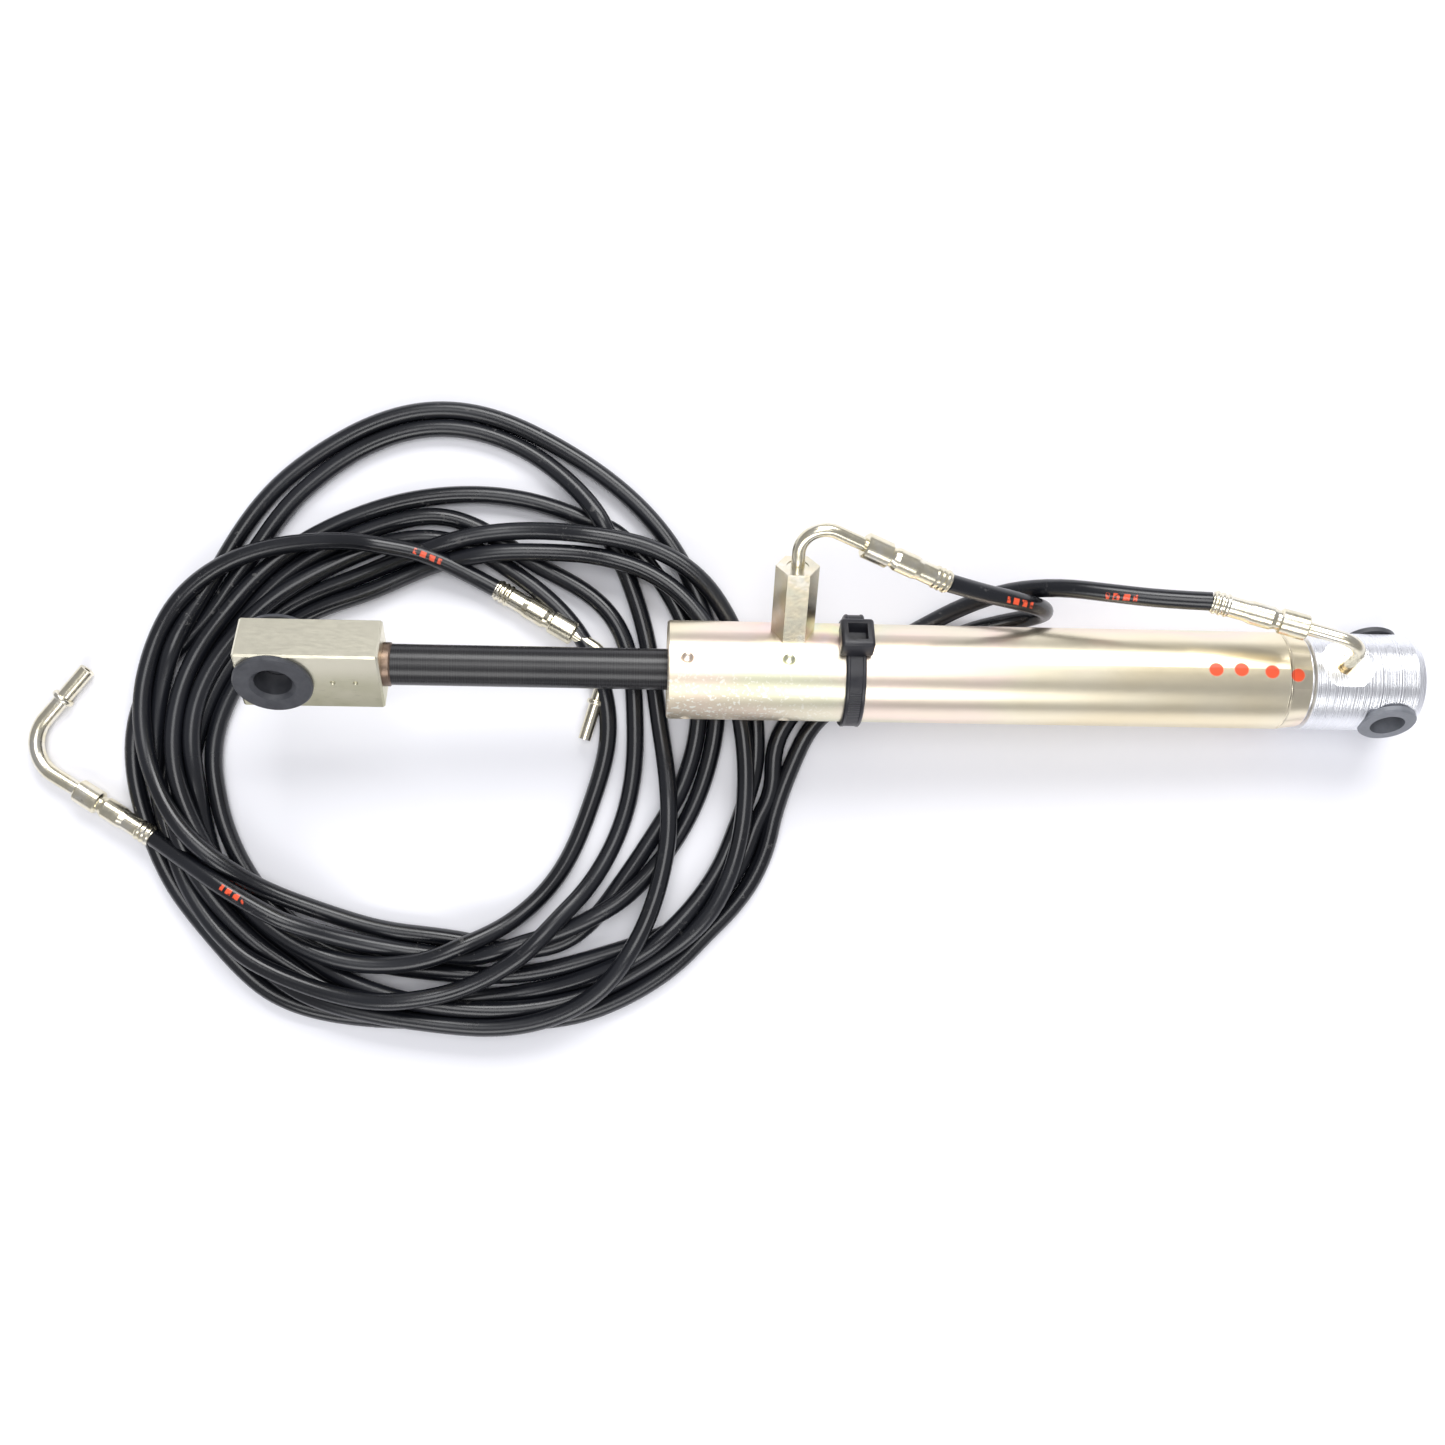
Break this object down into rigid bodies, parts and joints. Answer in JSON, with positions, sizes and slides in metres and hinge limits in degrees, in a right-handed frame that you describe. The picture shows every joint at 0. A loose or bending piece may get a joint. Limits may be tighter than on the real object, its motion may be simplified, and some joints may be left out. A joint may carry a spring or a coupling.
{
  "type": "hydraulic cylinder with hoses",
  "caption": "Double-acting hydraulic cylinder with rod eye, rear eye, two bent port elbows and two long hoses wound into one loose coil with bent nipple ends.",
  "frame": {"origin": "centre of the rear eye's cross bore", "axes": "+X along the cylinder from the rod end to the rear end (seen from above), +Z the normal of the bench that it lies on"},
  "size_m": [0.3491, 0.1622, 0.046],
  "materials": {
    "zinc_steel": "yellow-passivated zinc on drawn steel, satin",
    "zinc_block": "yellow-passivated zinc on a sawn steel block",
    "zinc_fitting": "yellow-passivated zinc on small fittings",
    "aluminium": "turned aluminium",
    "black_rod": "black nitrided and polished steel",
    "bush_grey": "dark grey bush with a smooth flange",
    "neck_brown": "dark steel ring",
    "inner_steel": "turned steel, oiled",
    "bronze": "guide bronze",
    "seal_black": "nitrile rubber",
    "hose_black": "extruded thermoplastic hose, semi-gloss",
    "tie_black": "nylon"
  },
  "bodies": {
    "barrel": {"barrel_tube": "zinc_steel", "front_port_boss": "zinc_steel", "front_gland": "bronze", "gland_o_ring": "seal_black", "rod_seal": "seal_black", "rod_wiper": "seal_black", "rear_cap": "aluminium", "rear_cap_o_ring": "seal_black", "rear_bush_near": "bush_grey", "rear_bush_far": "bush_grey", "front_elbow_tube": "zinc_fitting", "front_port_sleeve": "zinc_fitting", "front_port_o_ring": "seal_black", "front_hose_collar": "zinc_fitting", "front_hose_ferrule": "zinc_fitting", "rear_elbow_tube": "zinc_fitting", "rear_port_sleeve": "zinc_fitting", "rear_port_o_ring": "seal_black", "rear_hose_collar": "zinc_fitting", "rear_hose_ferrule": "zinc_fitting", "hose_a_lead": "hose_black", "hose_b_lead": "hose_black", "end_a_tube": "zinc_fitting", "end_a_collar": "zinc_fitting", "end_a_ferrule": "zinc_fitting", "end_b_tube": "zinc_fitting", "end_b_collar": "zinc_fitting", "end_b_ferrule": "zinc_fitting", "hose_a_tail": "hose_black", "hose_b_tail": "hose_black", "hose_coil": "hose_black", "cable_tie": "tie_black"},
    "piston_rings": {"piston_seal": "seal_black", "piston_guide_ring": "bronze"},
    "rod": {"rod": "black_rod", "piston": "inner_steel", "piston_nut": "inner_steel", "rod_neck_ring": "neck_brown", "rod_eye_block": "zinc_block", "rod_eye_bush_near": "bush_grey", "rod_eye_bush_far": "bush_grey"}
  },
  "joints": [
    {"name": "rod_slide", "type": "slide", "parent": "barrel", "child": "piston_rings", "axis": [-0.9985, 0, 0.0541], "range_m": [-0.06, 0.039]},
    {"name": "rod_turn", "type": "hinge", "parent": "piston_rings", "child": "rod", "pos_m": [0, 0, 0], "axis": [-0.9985, 0, 0.0541], "continuous": true}
  ]
}
